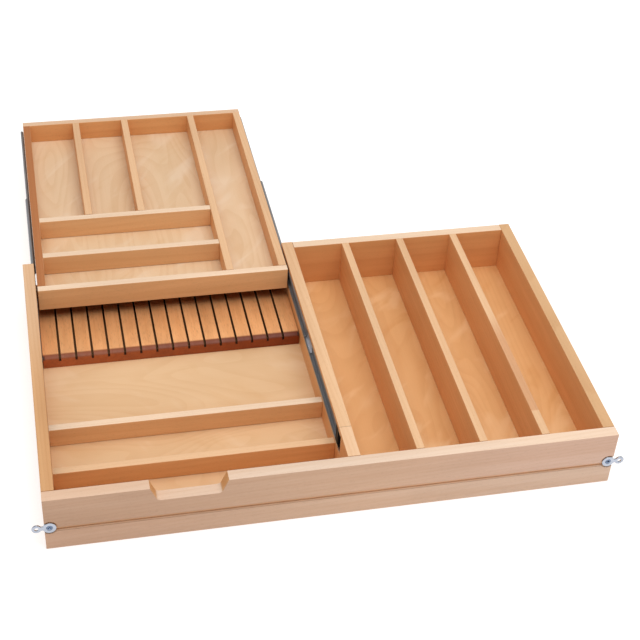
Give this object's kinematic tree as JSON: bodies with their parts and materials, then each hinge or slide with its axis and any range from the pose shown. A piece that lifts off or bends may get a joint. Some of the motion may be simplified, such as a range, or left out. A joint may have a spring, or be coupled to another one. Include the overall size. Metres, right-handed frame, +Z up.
{
  "type": "drawer organizer insert",
  "caption": "Wooden two-tier drawer insert: long divided bay on the right, knife block and compartments on the left under a tray that slides back on ball-bearing runners.",
  "frame": {"origin": "middle of the front board's underside, on the plane the box rests on", "axes": "+X to the right seen from the front, +Y from the front board to the back, +Z up"},
  "size_m": [0.8806, 0.9805, 0.098],
  "materials": {
    "beech_board": "clear satin lacquer on pale hardwood",
    "beech_divider": "clear satin lacquer on warm hardwood",
    "birch_plywood": "clear satin lacquer on plain rotary-cut veneer",
    "knife_block_wood": "satin lacquer on darker hardwood",
    "slide_zinc": "grey zinc-plated rolled steel",
    "screw_zinc": "bright zinc-plated steel",
    "clip_zinc": "bright zinc-plated stamped steel",
    "bumper_plastic": "moulded black plastic"
  },
  "bodies": {
    "base": {"center_partition": "beech_board", "front_board": "beech_board", "knife_block": "knife_block_wood", "left_back_board": "beech_divider", "left_clip_screw": "clip_zinc", "left_floor_panel": "birch_plywood", "left_outer_screw_1": "screw_zinc", "left_outer_screw_2": "screw_zinc", "left_outer_screw_3": "screw_zinc", "left_side_board": "beech_board", "left_slide_bumper": "bumper_plastic", "left_slide_outer": "slide_zinc", "lower_front_divider": "beech_divider", "lower_rear_divider": "beech_divider", "right_back_board": "beech_divider", "right_bay_divider_1": "beech_divider", "right_bay_divider_2": "beech_divider", "right_bay_divider_3": "beech_divider", "right_clip_screw": "clip_zinc", "right_floor_panel": "birch_plywood", "right_outer_screw_1": "screw_zinc", "right_outer_screw_2": "screw_zinc", "right_outer_screw_3": "screw_zinc", "right_side_board": "beech_board", "right_slide_bumper": "bumper_plastic", "right_slide_outer": "slide_zinc"},
    "left_clip": {"left_figure8_clip": "clip_zinc"},
    "left_inner_cage": {"left_inner_ball_cage": "slide_zinc"},
    "tray": {"left_inner_screw_1": "screw_zinc", "left_inner_screw_2": "screw_zinc", "left_slide_inner": "slide_zinc", "right_inner_screw_1": "screw_zinc", "right_inner_screw_2": "screw_zinc", "right_slide_inner": "slide_zinc", "tray_back_board": "beech_board", "tray_bottom_panel": "birch_plywood", "tray_front_board": "beech_board", "tray_front_cross_divider": "beech_divider", "tray_left_board": "beech_divider", "tray_left_rear_divider": "beech_divider", "tray_long_divider": "beech_divider", "tray_rear_cross_divider": "beech_divider", "tray_right_board": "beech_board", "tray_right_rear_divider": "beech_divider"},
    "left_outer_cage": {"left_outer_ball_cage": "slide_zinc"},
    "left_middle_member": {"left_slide_middle": "slide_zinc"},
    "right_clip": {"right_figure8_clip": "clip_zinc"},
    "right_inner_cage": {"right_inner_ball_cage": "slide_zinc"},
    "right_outer_cage": {"right_outer_ball_cage": "slide_zinc"},
    "right_middle_member": {"right_slide_middle": "slide_zinc"}
  },
  "joints": [
    {"name": "tray_slide", "type": "slide", "parent": "base", "child": "tray", "axis": [0, 1, 0], "range_m": [-0.4425, 0.0145]},
    {"name": "left_middle_slide", "type": "slide", "parent": "base", "child": "left_middle_member", "axis": [0, 1, 0], "range_m": [-0.22175, 0.00775]},
    {"name": "left_outer_cage_roll", "type": "slide", "parent": "base", "child": "left_outer_cage", "axis": [0, 1, 0], "range_m": [-0.11113, 0.00413]},
    {"name": "left_inner_cage_roll", "type": "slide", "parent": "base", "child": "left_inner_cage", "axis": [0, 1, 0], "range_m": [-0.33238, 0.01138]},
    {"name": "right_middle_slide", "type": "slide", "parent": "base", "child": "right_middle_member", "axis": [0, 1, 0], "range_m": [-0.22175, 0.00775]},
    {"name": "right_outer_cage_roll", "type": "slide", "parent": "base", "child": "right_outer_cage", "axis": [0, 1, 0], "range_m": [-0.11113, 0.00413]},
    {"name": "right_inner_cage_roll", "type": "slide", "parent": "base", "child": "right_inner_cage", "axis": [0, 1, 0], "range_m": [-0.33238, 0.01138]},
    {"name": "left_clip_swivel", "type": "hinge", "parent": "base", "child": "left_clip", "pos_m": [-0.4153, -0.0095, 0.043], "axis": [0, 1, 0], "range_deg": [-25, 25]},
    {"name": "right_clip_swivel", "type": "hinge", "parent": "base", "child": "right_clip", "pos_m": [0.4153, -0.0095, 0.043], "axis": [0, 1, 0], "range_deg": [-25, 25]}
  ],
  "couplings": [
    {"joint": "left_middle_slide", "follows": "tray_slide", "ratio": 0.5},
    {"joint": "left_outer_cage_roll", "follows": "tray_slide", "ratio": 0.25},
    {"joint": "left_inner_cage_roll", "follows": "tray_slide", "ratio": 0.75},
    {"joint": "right_middle_slide", "follows": "tray_slide", "ratio": 0.5},
    {"joint": "right_outer_cage_roll", "follows": "tray_slide", "ratio": 0.25},
    {"joint": "right_inner_cage_roll", "follows": "tray_slide", "ratio": 0.75}
  ]
}
